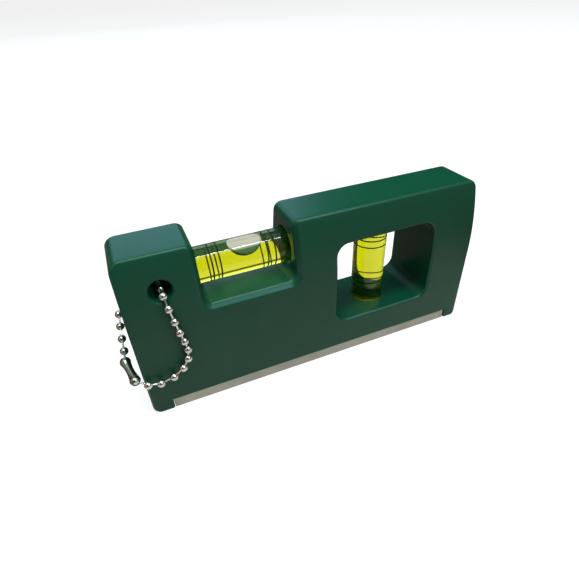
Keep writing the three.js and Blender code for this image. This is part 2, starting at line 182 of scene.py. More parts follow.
# Fineness of the meshes
OUTLINE_STEP = 1.2 * MM
GRID_STEP = 1.5 * MM
CORNER_STEPS = 10
EDGE_STEPS = 7
WALL_ROWS = 9
SOFT_STEPS = 4
SOFT_SHARE = 0.45
HOLE_SIDES = 64
TUBE_SIDES = 96
RING_STEPS = 2
BUBBLE_SIDES = 64
BUBBLE_ROWS = 40
BALL_SIDES = 40
BALL_ROWS = 18
LINK_SIDES = 20
BULB_STEPS = 12
WAIST_STEPS = 6
CONNECTOR_COLUMNS = 36
STAGE_SIDES = 64
WELD = 0.0002 * MM
SMOOTH_BELOW = math.radians(32)


# Node materials

def add_node(tree, kind, inputs=None, **settings):
    node = tree.nodes.new("ShaderNode" + kind)
    for name, value in settings.items():
        setattr(node, name, value)
    for name, value in (inputs or {}).items():
        socket = node.inputs[name]
        if isinstance(value, bpy.types.NodeSocket):
            tree.links.new(value, socket)
        else:
            socket.default_value = value
    return node


def new_material(name):
    material = bpy.data.materials.new(name)
    material.use_nodes = True
    material.node_tree.nodes.clear()
    return material, material.node_tree


def show_surface(tree, shader, volume=None):
    output = add_node(tree, "OutputMaterial", {"Surface": shader})
    if volume is not None:
        tree.links.new(volume, output.inputs["Volume"])


def noise_value(tree, coordinates, scale, detail=2.0, roughness=0.5):
    inputs = {"Vector": coordinates, "Scale": scale, "Detail": detail, "Roughness": roughness}
    return add_node(tree, "TexNoise", inputs).outputs["Fac"]


def spread(tree, value, low, high, from_low=0.3, from_high=0.7):
    """The value's range from from_low to from_high, spread over low to high."""
    inputs = {"Value": value, "From Min": from_low, "From Max": from_high, "To Min": low, "To Max": high}
    return add_node(tree, "MapRange", inputs).outputs["Result"]


def combine(tree, operation, first, second):
    return add_node(tree, "Math", {0: first, 1: second}, operation=operation).outputs["Value"]


def mixed_colour(tree, share, first, second):
    """The Mix node's sockets 6, 7 and 2 are its two colours and their mixture."""
    return add_node(tree, "Mix", {0: share, 6: first, 7: second}, data_type="RGBA").outputs[2]


def bump(tree, height, distance, strength, normal=None):
    inputs = {"Height": height, "Distance": distance, "Strength": strength}
    if normal is not None:
        inputs["Normal"] = normal
    return add_node(tree, "Bump", inputs).outputs["Normal"]


def object_coordinates(tree, stretch=(1, 1, 1), turn=(0, 0, 0)):
    place = add_node(tree, "TexCoord").outputs["Object"]
    if stretch == (1, 1, 1) and turn == (0, 0, 0):
        return place
    return add_node(tree, "Mapping", {"Vector": place, "Scale": stretch, "Rotation": turn}).outputs["Vector"]


def normal_along_y(tree):
    """How far the surface faces the back (1) or the front (-1)."""
    return add_node(tree, "SeparateXYZ", {0: add_node(tree, "TexCoord").outputs["Normal"]}).outputs["Y"]


def body_material():
    """Moulded plastic: matt grained sides, smoother chamfers, walls and top, slightly paler sharp edges,
    partly wear and partly a painted highlight along the creases, and a few light specks."""
    material, tree = new_material("green_plastic")
    place = object_coordinates(tree)
    patches = spread(tree, noise_value(tree, place, 55, detail=3), 0, 1)
    colour = mixed_colour(tree, patches, (0.0009, 0.052, 0.024, 1), (0.0018, 0.060, 0.0285, 1))

    cells = add_node(tree, "TexVoronoi", {"Vector": place, "Scale": 150, "Randomness": 1})
    near_centre = spread(tree, cells.outputs["Distance"], 1, 0, from_low=0.012, from_high=0.024)
    cell_value = add_node(tree, "SeparateColor", {"Color": cells.outputs["Color"]}).outputs[0]
    chosen = spread(tree, cell_value, 0, 1, from_low=0.9, from_high=0.91)
    speck = combine(tree, "MULTIPLY", near_centre, chosen)
    colour = mixed_colour(tree, combine(tree, "MULTIPLY", speck, 0.5), colour, (0.4, 0.5, 0.44, 1))

    # Paler towards sharp edges: partly wear, partly a painted highlight along the creases.
    pointiness = add_node(tree, "NewGeometry").outputs["Pointiness"]
    edge = spread(tree, pointiness, 0, 0.25, from_low=0.52, from_high=0.62)
    colour = mixed_colour(tree, edge, colour, (0.02, 0.15, 0.1, 1))

    facing = combine(tree, "ABSOLUTE", normal_along_y(tree), 0)
    grained = spread(tree, facing, 0, 1, from_low=0.85, from_high=0.95)
    upright = object_coordinates(tree, stretch=(1, 1, 2.5))
    smears = noise_value(tree, upright, 90, detail=5, roughness=0.65)
    smooth_roughness = spread(tree, smears, 0.27, 0.35)
    roughness = combine(tree, "ADD", smooth_roughness, combine(tree, "MULTIPLY", grained, 0.15))
    waves = noise_value(tree, place, 260)
    grain = combine(tree, "MULTIPLY", noise_value(tree, place, 4200), combine(tree, "ADD", grained, 0.2))
    normal = bump(tree, waves, 0.02 * MM, strength=0.35)
    normal = bump(tree, grain, 0.006 * MM, strength=0.5, normal=normal)
    shader = add_node(tree, "BsdfPrincipled", {
        "Base Color": colour, "Roughness": roughness, "Normal": normal,
        "IOR": 1.46, "Specular IOR Level": 0.38,
    })
    show_surface(tree, shader.outputs[0])
    return material


def strip_material():
    """Ground light metal with fine slanting lines."""
    material, tree = new_material("ground_metal")
    slant = object_coordinates(tree, stretch=(1, 1, 12), turn=(0, math.radians(38), 0))
    lines = noise_value(tree, slant, 900, detail=3, roughness=0.6)
    patches = noise_value(tree, object_coordinates(tree), 120, detail=3)
    colour = mixed_colour(tree, spread(tree, patches, 0, 1), (0.37, 0.36, 0.325, 1), (0.45, 0.44, 0.40, 1))
    colour = mixed_colour(tree, spread(tree, lines, 0, 0.35), colour, (0.25, 0.24, 0.22, 1))
    normal = bump(tree, lines, 0.012 * MM, strength=0.6)
    shader = add_node(tree, "BsdfPrincipled", {
        "Base Color": colour, "Metallic": 1.0, "Normal": normal,
        "Roughness": spread(tree, lines, 0.42, 0.56),
    })
    show_surface(tree, shader.outputs[0])
    return material


def steel_material(name, dark, light):
    """Nickel plate with faint dull patches."""
    material, tree = new_material(name)
    place = object_coordinates(tree)
    dull = noise_value(tree, place, 700, detail=3, roughness=0.6)
    colour = mixed_colour(tree, spread(tree, dull, 0, 1), dark, light)
    normal = bump(tree, noise_value(tree, place, 2600), 0.008 * MM, strength=0.4)
    shader = add_node(tree, "BsdfPrincipled", {
        "Base Color": colour, "Metallic": 1.0, "Normal": normal, "Roughness": spread(tree, dull, 0.13, 0.24),
    })
    show_surface(tree, shader.outputs[0])
    return material


def clear_material(name, colour, roughness, waves):
    """See-through plastic whose surface is slightly uneven, by waves of that height."""
    material, tree = new_material(name)
    place = object_coordinates(tree)
    inputs = {"Base Color": colour, "IOR": TUBE_IOR, "Transmission Weight": 1.0}
    inputs["Roughness"] = spread(tree, noise_value(tree, place, 500, detail=3), roughness, 2 * roughness)
    inputs["Normal"] = bump(tree, noise_value(tree, place, 180), waves, strength=0.5)
    show_surface(tree, add_node(tree, "BsdfPrincipled", inputs).outputs[0])
    return material


def tube_material():
    return clear_material("clear_acrylic", (0.99, 1, 0.99, 1), 0.004, 0.0004 * MM)


def wetted_material():
    """The tube's bore, where the liquid wets it: light only bends there at the liquid's own surface."""
    material, tree = new_material("wetted_bore")
    haze = noise_value(tree, object_coordinates(tree), 500, detail=3)
    colour = mixed_colour(tree, haze, (0.995, 1, 0.995, 1), (1, 1, 1, 1))
    show_surface(tree, add_node(tree, "BsdfTransparent", {"Color": colour}).outputs[0])
    return material


def plug_material():
    return clear_material("plug_acrylic", (0.85, 0.92, 0.85, 1), 0.12, 0.01 * MM)


def liquid_material():
    """Yellow-green liquid against the tube: blue goes within a millimetre or two, red and green much
    later."""
    material, tree = new_material("yellow_liquid")
    clouds = noise_value(tree, object_coordinates(tree), 300)
    colour = mixed_colour(tree, clouds, (0.99, 0.99, 0.97, 1), (1, 1, 0.99, 1))
    glass = add_node(tree, "BsdfGlass", {"Color": colour, "Roughness": 0.0, "IOR": LIQUID_IOR / TUBE_IOR})
    soak = add_node(tree, "VolumeAbsorption", {"Color": (0.905, 0.904, 0.02, 1), "Density": 850.0})
    show_surface(tree, glass.outputs[0], soak.outputs[0])
    return material


def bubble_material():
    """Air seen from the liquid round it, so light bends the other way. Most of its look is painted light on
    its
    surface: pale like a reflection of the room above, and along the front green like the notch seen through
    it."""
    material, tree = new_material("air_bubble")
    clouds = noise_value(tree, object_coordinates(tree, stretch=(1, 6, 1)), 300)
    colour = mixed_colour(tree, clouds, (1, 0.97, 0.95, 1), (1, 1, 1, 1))
    glass = add_node(tree, "BsdfGlass", {"Color": colour, "Roughness": 0.0, "IOR": 1 / LIQUID_IOR})
    # Painted reflection: pale like the room above on top, dark green like the notch along the front.
    pale = mixed_colour(tree, clouds, (0.31, 0.275, 0.27, 1), (0.40, 0.355, 0.34, 1))
    off_front = spread(tree, normal_along_y(tree), 0, 1, from_low=-0.64, from_high=-0.5)
    painted_reflection = add_node(tree, "BsdfDiffuse", {
        "Color": mixed_colour(tree, off_front, (0.012, 0.07, 0.03, 1), pale),
    })
    mix = add_node(tree, "MixShader", {0: BUBBLE_PAINTED_REFLECTION_SHARE, 1: glass.outputs[0], 2: painted_reflection.outputs[0]})
    show_surface(tree, mix.outputs[0])
    return material


def ring_material():
    """Black ink, a little uneven."""
    material, tree = new_material("black_ink")
    place = object_coordinates(tree)
    wear = noise_value(tree, place, 1500, detail=3)
    colour = mixed_colour(tree, spread(tree, wear, 0, 1), (0.006, 0.007, 0.006, 1), (0.02, 0.022, 0.02, 1))
    shader = add_node(tree, "BsdfPrincipled", {
        "Base Color": colour, "Roughness": spread(tree, wear, 0.5, 0.7),
        "Normal": bump(tree, wear, 0.01 * MM, strength=0.4), "Specular IOR Level": 0.1,
    })
    show_surface(tree, shader.outputs[0])
    return material


# Meshes

def smooth_shading(mesh):
    mesh.polygons.foreach_set("use_smooth", [True] * len(mesh.polygons))
    mesh.set_sharp_from_angle(angle=SMOOTH_BELOW)


def new_object(name, bm, material):
    mesh = bpy.data.meshes.new(name)
    bm.to_mesh(mesh)
    bm.free()
    mesh.materials.append(material)
    smooth_shading(mesh)
    piece = bpy.data.objects.new(name, mesh)
    bpy.context.scene.collection.objects.link(piece)
    return piece


def add_piece(name, bm, material, body, node):
    """A finished piece that stands for a CAD node and moves with its body."""
    piece = new_object(name, bm, material)
    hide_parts(node)
    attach(piece, body)
    return piece


def cut(piece, cutter):
    """Takes the cutter's shape out of the piece and removes the cutter."""
    modifier = piece.modifiers.new("cut", "BOOLEAN")
    modifier.operation = "DIFFERENCE"
    modifier.solver = "EXACT"
    modifier.object = cutter
    depsgraph = bpy.context.evaluated_depsgraph_get()
    mesh = bpy.data.meshes.new_from_object(piece.evaluated_get(depsgraph))
    piece.modifiers.clear()
    piece.data = mesh
    bpy.data.objects.remove(cutter)
    smooth_shading(mesh)


def join_rings(bm, rings, closed):
    """Faces between rings of equally many points; a ring of one point closes an end."""
    pairs = list(zip(rings, rings[1:]))
    if closed:
        pairs.append((rings[-1], rings[0]))
    for low, high in pairs:
        sides = max(len(low), len(high))
        for i in range(sides):
            j = (i + 1) % sides
            corners = [low[i % len(low)], low[j % len(low)], high[j % len(high)], high[i % len(high)]]
            corners = list(dict.fromkeys(corners))
            if len(corners) > 2:
                bm.faces.new(corners)
    bmesh.ops.recalc_face_normals(bm, faces=bm.faces)


def lathe(profile, sides, matrix, closed=False):
    """A turned shape. The profile's rows are (radius, height). One that starts and ends on the axis, or that
    closes on itself, gives a solid."""
    bm = bmesh.new()
    rings = []
    for radius, height in profile:
        if radius < WELD:
            rings.append([bm.verts.new((0, 0, height))])
            continue
        angles = [2 * math.pi * side / sides for side in range(sides)]
        rings.append([bm.verts.new((radius * math.cos(a), radius * math.sin(a), height)) for a in angles])
    join_rings(bm, rings, closed)
    bm.transform(matrix)
    return bm


def softened(points, reach, closed=False, steps=SOFT_STEPS):
    """The same profile with each corner rounded off within that reach."""
    result = []
    count = len(points)
    for index, point in enumerate(points):
        corner = Vector(point)
        if not closed and index in (0, count - 1):
            result.append(corner)
            continue
        before = Vector(points[index - 1]) - corner
        after = Vector(points[(index + 1) % count]) - corner
        start = corner + before.normalized() * min(reach, before.length * SOFT_SHARE)
        end = corner + after.normalized() * min(reach, after.length * SOFT_SHARE)
        for step in range(steps + 1):
            t = step / steps
            result.append(start * (1 - t) ** 2 + corner * 2 * t * (1 - t) + end * t ** 2)
    return [tuple(p) for p in result]


# Body

def half_thickness(z):
    """Half of the body's thickness at a height: upright sides that curve in towards the top."""
    rise = np.clip(z - STRAIGHT_SIDE_HEIGHT, 0, TOP - STRAIGHT_SIDE_HEIGHT)
    narrowing = (BASE_THICKNESS - TOP_THICKNESS) / 2
    return BASE_THICKNESS / 2 - narrowing * (rise / (TOP - STRAIGHT_SIDE_HEIGHT)) ** 2


def rounded_outline(corners):
    """Points round a closed outline of right angles that keeps the material on its left.
    A corner is x, z, its radius and the edge of the side after it.
    A point is x, z, the normal that points out of the material, and the three values of its edge."""
    rows = []
    for index, (x, z, radius, edge) in enumerate(corners):
        corner = np.array((x, z))
        last_x, last_z, _, last_edge = corners[index - 1]
        next_x, next_z, next_radius, _ = corners[(index + 1) % len(corners)]
        way_in = corner - (last_x, last_z)
        way_in /= np.linalg.norm(way_in)
        way_out = np.array((next_x, next_z)) - corner
        length = np.linalg.norm(way_out)
        way_out /= length
        centre = corner + radius * (way_out - way_in)
        for step in range(CORNER_STEPS + 1):
            share = step / CORNER_STEPS
            turn = share * math.pi / 2
            point = centre + radius * (way_in * math.sin(turn) - way_out * math.cos(turn))
            tangent = way_in * math.cos(turn) + way_out * math.sin(turn)
            blend = share * share * (3 - 2 * share)
            edge_here = [old + blend * (new - old) for old, new in zip(last_edge, edge)]
            rows.append((*point, tangent[1], -tangent[0], *edge_here))
        run = length - radius - next_radius
        parts = max(1, math.ceil(run / OUTLINE_STEP))
        for part in range(1, parts):
            point = corner + way_out * (radius + run * part / parts)
            rows.append((*point, way_out[1], -way_out[0], *edge))
    return np.array(rows)


def body_outlines():
    outer = rounded_outline([
        (LEFT, 0, BOTTOM_LEFT_RADIUS, BASE_EDGE),
        (REBATE_LEFT, 0, FOOT_RADIUS, REBATE_EDGE),
        (REBATE_LEFT, REBATE_HEIGHT, REBATE_RADIUS, REBATE_EDGE),
        (REBATE_RIGHT, REBATE_HEIGHT, REBATE_RADIUS, REBATE_EDGE),
        (REBATE_RIGHT, 0, FOOT_RADIUS, BASE_EDGE),
        (RIGHT, 0, BOTTOM_RIGHT_RADIUS, END_EDGE),
        (RIGHT, TOP, TOP_RIGHT_RADIUS, TOP_EDGE),
        (NOTCH_RIGHT, TOP, NOTCH_TOP_RADIUS, NOTCH_EDGE),
        (NOTCH_RIGHT, NOTCH_FLOOR, NOTCH_FLOOR_RADIUS, NOTCH_EDGE),
        (NOTCH_LEFT, NOTCH_FLOOR, NOTCH_FLOOR_RADIUS, NOTCH_EDGE),
        (NOTCH_LEFT, TOP, NOTCH_TOP_RADIUS, TOP_EDGE),
        (LEFT, TOP, TOP_LEFT_RADIUS, END_EDGE),
    ])
    window = rounded_outline([
        (WINDOW_LEFT, WINDOW_SILL, WINDOW_RADIUS, WINDOW_EDGE),
        (WINDOW_LEFT, WINDOW_TOP, WINDOW_RADIUS, WINDOW_EDGE),
        (WINDOW_RIGHT, WINDOW_TOP, WINDOW_RADIUS, WINDOW_EDGE),
        (WINDOW_RIGHT, WINDOW_SILL, WINDOW_RADIUS, WINDOW_EDGE),
    ])
    angles = -2 * np.pi * np.arange(HOLE_SIDES) / HOLE_SIDES
    outward = np.stack((np.cos(angles), np.sin(angles)), 1)
    centre = np.array((HOLE_X, HOLE_HEIGHT))
    edges = np.tile(HOLE_EDGE, (HOLE_SIDES, 1))
    hole = np.hstack((centre + HOLE_RADIUS * outward, -outward, edges))
    return [outer, window, hole]


def inside_loops(points, loops):
    """For each point, whether it lies inside the first loop and outside the others."""
    crossings = np.zeros(len(points), int)
    for start in loops:
        end = np.roll(start, -1, axis=0)
        x = points[:, :1]
        z = points[:, 1:]
        spans = (start[:, 1] > z) != (end[:, 1] > z)
        rise = np.where(end[:, 1] == start[:, 1], WELD, end[:, 1] - start[:, 1])
        at = start[:, 0] + (z - start[:, 1]) / rise * (end[:, 0] - start[:, 0])
        crossings += (spans & (x < at)).sum(1)
    return crossings % 2 == 1


def side_face(outlines, reaches):
    """The flat pattern of the front or back face, inside its edges: its points and triangles."""
    loops = [rows[:, :2] - rows[:, 2:4] * rows[:, reaches] for rows in outlines]
    edge_points = np.vstack(loops)
    edges = []
    for loop in loops:
        first = len(edges)
        edges += [(first + i, first + (i + 1) % len(loop)) for i in range(len(loop))]
    grid_x, grid_z = np.meshgrid(np.arange(LEFT, RIGHT, GRID_STEP), np.arange(0, TOP, GRID_STEP))
    grid = np.stack((grid_x.ravel(), grid_z.ravel()), 1)
    grid = grid[inside_loops(grid, loops)]
    gaps = np.linalg.norm(grid[:, None] - edge_points[None], axis=2).min(1)
    grid = grid[gaps > GRID_STEP / 2]
    points = [Vector(p) for p in np.vstack((edge_points, grid)) / MM]
    found, _, triangles, _, _, _ = delaunay_2d_cdt(points, edges, [], 0, WELD / MM)
    found = np.array(found) * MM
    triangles = np.array(triangles)
    kept = triangles[inside_loops(found[triangles].mean(1), loops)]
    return found, kept


def edge_profiles():
    """Inset and depth from a face to the wall: along a round edge, and along a chamfer with soft corners.
    Both have EDGE_STEPS + 1 points. The chamfer's corners share those that its two ends leave."""
    turns = np.linspace(math.pi / 2, 0, EDGE_STEPS + 1)
    rounded = np.stack((1 - np.cos(turns), 1 - np.sin(turns)), 1)
    corners = [(1, 0), (CHAMFER_SHARE, 0), (0, CHAMFER_SHARE), (0, 1)]
    chamfered = softened(corners, CHAMFER_CORNER, steps=(EDGE_STEPS - 3) // 2)
    return rounded, np.array(chamfered)


def add_outline_wall(bm, rows):
    """The front edge, the wall and the back edge along one outline."""
    front, back, flat = rows[:, 4], rows[:, 5], rows[:, 6]
    profile = []
    for rounded, chamfered in zip(*edge_profiles()):
        profile.append([rounded[i] + flat * (chamfered[i] - rounded[i]) for i in (0, 1)])
    rings = []

    def add_ring(inset, side, shift):
        place = rows[:, :2] - rows[:, 2:4] * inset[:, None]
        y = side * half_thickness(place[:, 1]) - shift
        rings.append([bm.verts.new((x, y_here, z)) for (x, z), y_here in zip(place, y)])

    for inset, depth in profile:
        add_ring(front * inset, -1, -front * depth)
    for row in range(1, WALL_ROWS):
        share = row / WALL_ROWS
        add_ring(0 * front, 2 * share - 1, share * back - (1 - share) * front)
    for inset, depth in reversed(profile):
        add_ring(back * inset, 1, back * depth)
    join_rings(bm, rings, False)


def pocket_cutter(name, matrix, opening, reach, radius):
    """A turned cutter for the two pockets that hold a vial, each with a small chamfer at its mouth."""
    mouth = opening / 2
    wide = radius + POCKET_CHAMFER
    half = [(wide, mouth), (radius, mouth + POCKET_CHAMFER), (radius, reach), (0, reach)]
    profile = [(r, -h) for r, h in reversed(half)] + half
    return new_object(name, lathe(profile, TUBE_SIDES, matrix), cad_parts["body"].data.materials[0])


def add_body(material, vials):
    outlines = body_outlines()
    bm = bmesh.new()
    for rows in outlines:
        add_outline_wall(bm, rows)
    for side, reaches in ((-1, slice(4, 5)), (1, slice(5, 6))):
        points, triangles = side_face(outlines, reaches)
        depth = side * half_thickness(points[:, 1])
        verts = [bm.verts.new((x, y, z)) for (x, z), y in zip(points, depth)]
        for triangle in triangles:
            bm.faces.new([verts[i] for i in triangle])
    bmesh.ops.remove_doubles(bm, verts=bm.verts, dist=WELD)
    bmesh.ops.recalc_face_normals(bm, faces=bm.faces)
    body = add_piece("moulded_body", bm, material, "level_body", "body")
    for name, vial in vials.items():
        reach = vial["half_length"] + POCKET_GAP
        radius = vial["radius"] + POCKET_GAP
        cut(body, pocket_cutter(name + "_pocket", vial["matrix"], vial["opening"], reach, radius))


# Base strip

def add_strip(material):
    low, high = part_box("base_strip")
    bm = bmesh.new()
    bmesh.ops.create_cube(bm, size=1)
    bmesh.ops.scale(bm, vec=high - low, verts=bm.verts)
    bmesh.ops.translate(bm, vec=(low + high) / 2, verts=bm.verts)
    bmesh.ops.bevel(
        bm, geom=bm.edges, offset=STRIP_EDGE, segments=STRIP_EDGE_STEPS, profile=0.5, affect="EDGES")
    add_piece("ground_strip", bm, material, "level_body", "base_strip")


# Vials

def vial_frame(name, axis, opening):
    """Where a vial lies: the matrix from its own upright frame, and the sizes that its box gives."""
    low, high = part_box(name + "_tube")
    middle = (low + high) / 2
    turn = Matrix.Rotation(math.pi / 2, 4, "Y") if axis == "x" else Matrix.Identity(4)
    return {
        "matrix": Matrix.Translation(middle) @ turn,
        "opening": opening,
        "half_length": (high.x - low.x) / 2 if axis == "x" else (high.z - low.z) / 2,
        "radius": (high.y - low.y) / 2,
    }


def span_along(vial, node):
    """Where a node starts and ends along the vial's own axis, from its middle."""
    to_own = vial["matrix"].inverted()
    ends = [(to_own @ corner).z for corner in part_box(node)]
    return min(ends), max(ends)


def add_vial(name, vial, materials, bubble_mesh):
    matrix = vial["matrix"]
    outer = vial["radius"]
    half = vial["half_length"]
    liquid_low, liquid_high = span_along(vial, name + "_liquid")
    chamber_high = liquid_high + LIQUID_END_GAP
    tube_profile = [
        (0, chamber_high), (BORE_RADIUS, chamber_high), (BORE_RADIUS, -half),
        (outer, -half), (outer, half), (0, half),
    ]
    tube = lathe(softened(tube_profile, TUBE_SOFTNESS), TUBE_SIDES, matrix)
    to_own = matrix.inverted()
    for face in tube.faces:
        place = to_own @ face.calc_center_median()
        wetted = place.xy.length < BORE_RADIUS + WELD and place.z < chamber_high + WELD
        face.material_index = 1 if wetted else 0
    tube = add_piece(
        name + "_clear_tube", tube, materials["tube"], "level_body", name + "_tube")
    tube.data.materials.append(materials["wetted"])
    tube.visible_shadow = False

    wet = BORE_RADIUS + LIQUID_OVERLAP
    wet_high = chamber_high + LIQUID_OVERLAP
    liquid_profile = [(0, liquid_low), (wet, liquid_low), (wet, wet_high), (0, wet_high)]
    liquid = lathe(softened(liquid_profile, TUBE_SOFTNESS), TUBE_SIDES, matrix)
    liquid = add_piece(
        name + "_yellow_liquid", liquid, materials["liquid"], "level_body", name + "_liquid")
    liquid.visible_shadow = False

    plug_low, plug_high = span_along(vial, name + "_plug")
    plug_radius = BORE_RADIUS - PLUG_GAP
    plug_profile = [(0, plug_low), (plug_radius, plug_low), (plug_radius, plug_high), (0, plug_high)]
    plug = lathe(softened(plug_profile, TUBE_SOFTNESS), TUBE_SIDES, matrix)
    add_piece(name + "_end_plug", plug, materials["plug"], "level_body", name + "_plug")

    for number in range(1, RING_COUNT + 1):
        node = f"{name}_ring_{number}"
        low, high = span_along(vial, node)
        ring_outer = outer + RING_LIFT
        inner = outer + WELD
        section = [(inner, low), (ring_outer, low), (ring_outer, high), (inner, high)]
        section = softened(section, RING_SOFTNESS, closed=True, steps=RING_STEPS)
        ring = lathe(section, TUBE_SIDES, matrix, closed=True)
        add_piece(f"{name}_line_{number}", ring, materials["ring"], "level_body", node)

    bubble = add_piece(
        name + "_air_bubble", bubble_mesh, materials["bubble"],
        bubble_body(name), name + "_bubble")
    bubble.visible_shadow = False
    return tube


def bubble_body(name):
    return "main_bubble" if name == "main_vial" else "plumb_bubble"


def soft_limit(value, limit, softness):
    """The value, bent smoothly so that it stays under the limit. It is left as it is where it is more than
    BEND_REACH times the softness below."""
    below = (limit - value) / softness
    if below > BEND_REACH:
        return value
    return limit - softness * math.log1p(math.exp(below))


def egg(centre, radii, vial, limit):
    """An ellipsoid pressed against the inside of a bore of that radius round the vial's axis."""
    bm = bmesh.new()
    bmesh.ops.create_uvsphere(bm, u_segments=BUBBLE_SIDES, v_segments=BUBBLE_ROWS, radius=1)
    turn = vial["matrix"].to_3x3()
    for vert in bm.verts:
        place = turn @ Vector([vert.co[i] * radii[i] for i in range(3)]) + centre
        own = vial["matrix"].inverted() @ place
        across = own.xy
        if across.length > WELD:
            own.xy = across.normalized() * soft_limit(across.length, limit, BUBBLE_RIM)
        vert.co = vial["matrix"] @ own
    bmesh.ops.recalc_face_normals(bm, faces=bm.faces)
    return bm


def main_bubble_mesh(vial):
    """The bubble lies along the top of the bore: half an egg that hangs from it."""
    low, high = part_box("main_vial_bubble")
    centre = Vector(((low.x + high.x) / 2, 0, vial["matrix"].translation.z + BORE_RADIUS - BUBBLE_FILM))
    radii = (MAIN_BUBBLE_DEPTH, MAIN_BUBBLE_HALF_WIDTH, (high.x - low.x) / 2)
    return egg(centre, radii, vial, BORE_RADIUS - BUBBLE_FILM)


def plumb_bubble_mesh(vial):
    low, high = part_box("plumb_vial_bubble")
    return egg((low + high) / 2, (high - low) / 2, vial, BORE_RADIUS - BUBBLE_FILM)


# Chain

def ball_names():
    return sorted(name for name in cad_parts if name.startswith("chain_ball_"))


def ball_centres():
    """The balls' centres. Only the last has no link, so its box is the ball's own; each link before it
    stretches its box towards the next ball."""
    names = ball_names()
    low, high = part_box(names[-1])
    half = (high - low) / 2
    centres = [(low + high) / 2]
    for name in reversed(names[:-1]):
        low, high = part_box(name)
        towards = centres[0] - (low + high) / 2
        centres.insert(0, Vector([
            low[i] + half[i] if towards[i] > 0 else high[i] - half[i] for i in range(3)
        ]))
    return centres, half.z


def aim(start, direction, side=None):
    """A matrix that puts its own Z along the direction, and its X as near to side as it can."""
    z = direction.normalized()
    x = Vector(USUAL_SIDE) if side is None else side
    x = (x - z * x.dot(z)).normalized()
    y = z.cross(x)
    return Matrix.Translation(start) @ Matrix((x, y, z)).transposed().to_4x4()


def ball_profile(radius):
    """A hollow bead's outside, with the turned-in hole at each end that the links pass through."""
    first = math.asin(BALL_HOLE_RADIUS / radius)
    angles = [first + (math.pi - 2 * first) * row / BALL_ROWS for row in range(BALL_ROWS + 1)]
    outside = [(radius * math.sin(a), radius * math.cos(a)) for a in angles]
    lip = radius * math.cos(first) - BALL_HOLE_DEPTH
    dimple = [(0, lip), (BALL_HOLE_RADIUS * BALL_HOLE_FLOOR_SHARE, lip)]
    return dimple + outside + [(r, -h) for r, h in reversed(dimple)]


def add_chain(material, connector_material):
    centres, radius = ball_centres()
    for index, (name, centre) in enumerate(zip(ball_names(), centres)):
        last = centres[max(index - 1, 0)]
        following = centres[min(index + 1, len(centres) - 1)]
        bm = lathe(ball_profile(radius), BALL_SIDES, aim(centre, following - last))
        if following is not centre:
            way = following - centre
            rod = [(0, 0), (LINK_RADIUS, 0), (LINK_RADIUS, way.length), (0, way.length)]
            link = lathe(rod, LINK_SIDES, aim(centre, way))
            link_mesh = bpy.data.meshes.new("link")
            link.to_mesh(link_mesh)
            link.free()
            bm.from_mesh(link_mesh)
            bpy.data.meshes.remove(link_mesh)
        add_piece("bead_" + name[-2:], bm, material, "chain", name)
    add_connector(connector_material, centres, radius)


def add_connector(material, centres, ball_radius):
    """A rolled shell round the first and last balls: two bulbs and a waist, slotted along one side."""
    first, last = centres[0], centres[-1]
    along = first - last
    middle = (first + last) / 2
    half = along.length / 2
    inner = ball_radius + CONNECTOR_GAP
    mouth_angle = math.asin(CONNECTOR_MOUTH_RADIUS / inner)

    def half_profile(growth):
        points = []
        bulb = inner + growth
        waist = CONNECTOR_WAIST_RADIUS - CONNECTOR_WALL + growth
        for step in range(BULB_STEPS + 1):
            angle = mouth_angle + (CONNECTOR_NECK - mouth_angle) * step / BULB_STEPS
            points.append((bulb * math.sin(angle), half + bulb * math.cos(angle)))
        neck_radius, neck_height = points[-1]
        for step in range(1, WAIST_STEPS + 1):
            share = 1 - step / WAIST_STEPS
            points.append((waist + (neck_radius - waist) * share ** 2, neck_height * share))
        return points

    outer_half = half_profile(CONNECTOR_WALL)
    inner_half = half_profile(0)
    outer = outer_half + [(r, -h) for r, h in reversed(outer_half[:-1])]
    inner_line = inner_half + [(r, -h) for r, h in reversed(inner_half[:-1])]
    bm = bmesh.new()
    rings = []
    for radius, height in outer + inner_line[::-1]:
        start = math.asin(CONNECTOR_SLOT / 2 / radius)
        turn = 2 * math.pi - 2 * start
        angles = [start + turn * column / CONNECTOR_COLUMNS for column in range(CONNECTOR_COLUMNS + 1)]
        rings.append([bm.verts.new((radius * math.cos(a), radius * math.sin(a), height)) for a in angles])
    count = len(rings)
    for index in range(count):
        low, high = rings[index], rings[(index + 1) % count]
        for column in range(CONNECTOR_COLUMNS):
            bm.faces.new((low[column], low[column + 1], high[column + 1], high[column]))
    for index in range(count // 2 - 1):
        pair = count - 1 - index
        for column in (0, CONNECTOR_COLUMNS):
            bm.faces.new((rings[index][column], rings[index + 1][column],
                          rings[pair - 1][column], rings[pair][column]))
    bmesh.ops.recalc_face_normals(bm, faces=bm.faces)
    bm.transform(aim(middle, along, centres[1] - first))
    add_piece("rolled_connector", bm, material, "chain", "chain_connector")


# Stage, lights and camera

def background_rays(tree):
    """One for rays that show the background: the camera's, and those that metal and glass send on."""
    rays = add_node(tree, "LightPath").outputs
    seen = combine(tree, "MAXIMUM", rays["Is Camera Ray"], rays["Is Glossy Ray"])
    return combine(tree, "MAXIMUM", seen, rays["Is Transmission Ray"])


def add_world():
    world = bpy.data.worlds.new("studio")
    bpy.context.scene.world = world
    world.use_nodes = True
    tree = world.node_tree
    tree.nodes.clear()
    room = add_node(tree, "Background", {"Color": (0.93, 0.97, 1, 1), "Strength": ROOM_LEVEL})
    white = add_node(tree, "Background", {"Color": (1, 1, 1, 1), "Strength": 1.0})
    mix = add_node(tree, "MixShader", {0: background_rays(tree), 1: room.outputs[0], 2: white.outputs[0]})
    add_node(tree, "OutputWorld", {"Surface": mix.outputs[0]})


